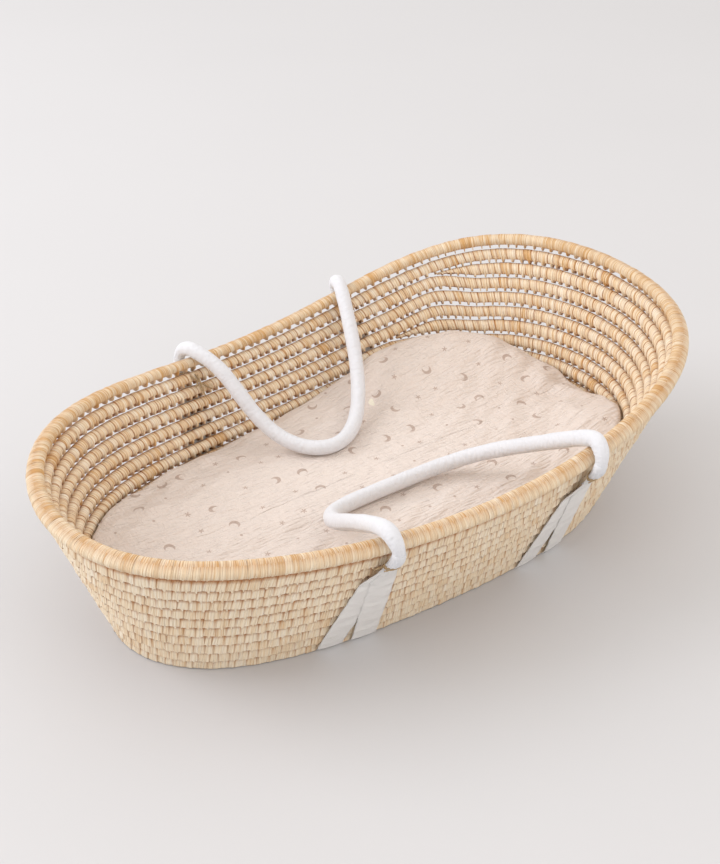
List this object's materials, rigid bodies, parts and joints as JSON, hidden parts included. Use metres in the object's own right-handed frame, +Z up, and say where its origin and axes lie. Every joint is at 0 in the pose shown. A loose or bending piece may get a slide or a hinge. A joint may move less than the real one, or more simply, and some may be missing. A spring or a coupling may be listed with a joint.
{
  "type": "moses basket",
  "caption": "Oval coiled palm-leaf Moses basket with a raised head end, padded cotton carry handles, flat straps under the base and a mattress in a printed muslin sheet.",
  "frame": {"origin": "on the floor, under the middle of the rim", "axes": "+X towards the raised head end, +Y towards the far handle, +Z up"},
  "size_m": [0.841, 0.5554, 0.2628],
  "materials": {
    "palm_coil": "matte",
    "palm_rim": "matte",
    "palm_mat": "matte",
    "foam": "matte",
    "muslin": "matte",
    "cotton_handle": "matte",
    "cotton_wadding": "matte",
    "cotton_strap": "matte",
    "twine": "matte"
  },
  "bodies": {
    "basket": {"wall_coil_01": "palm_coil", "wall_coil_02": "palm_coil", "wall_coil_03": "palm_coil", "wall_coil_04": "palm_coil", "wall_coil_05": "palm_coil", "wall_coil_06": "palm_coil", "wall_coil_07": "palm_coil", "wall_coil_08": "palm_coil", "wall_coil_09": "palm_coil", "wall_coil_10": "palm_coil", "head_coil_low": "palm_coil", "head_coil_high": "palm_coil", "rim_roll": "palm_rim", "base_mat": "palm_mat", "mattress_pad": "foam", "fitted_sheet": "muslin", "left_outer_strap": "cotton_strap", "left_inner_strap": "cotton_strap", "right_inner_strap": "cotton_strap", "right_outer_strap": "cotton_strap", "near_left_binding": "twine", "near_right_binding": "twine", "far_left_binding": "twine", "far_right_binding": "twine"},
    "near_handle": {"near_handle_cover": "cotton_handle", "near_handle_core": "cotton_wadding"},
    "far_handle": {"far_handle_cover": "cotton_handle", "far_handle_core": "cotton_wadding"}
  },
  "joints": [
    {"name": "near_handle_swing", "type": "hinge", "parent": "basket", "child": "near_handle", "pos_m": [-0.007, -0.25157, 0.1791], "axis": [0.995, -0.0838, 0.0545], "range_deg": [0, 130]},
    {"name": "far_handle_swing", "type": "hinge", "parent": "basket", "child": "far_handle", "pos_m": [-0.007, 0.25157, 0.1791], "axis": [-0.995, -0.0838, -0.0545], "range_deg": [0, 130]}
  ]
}
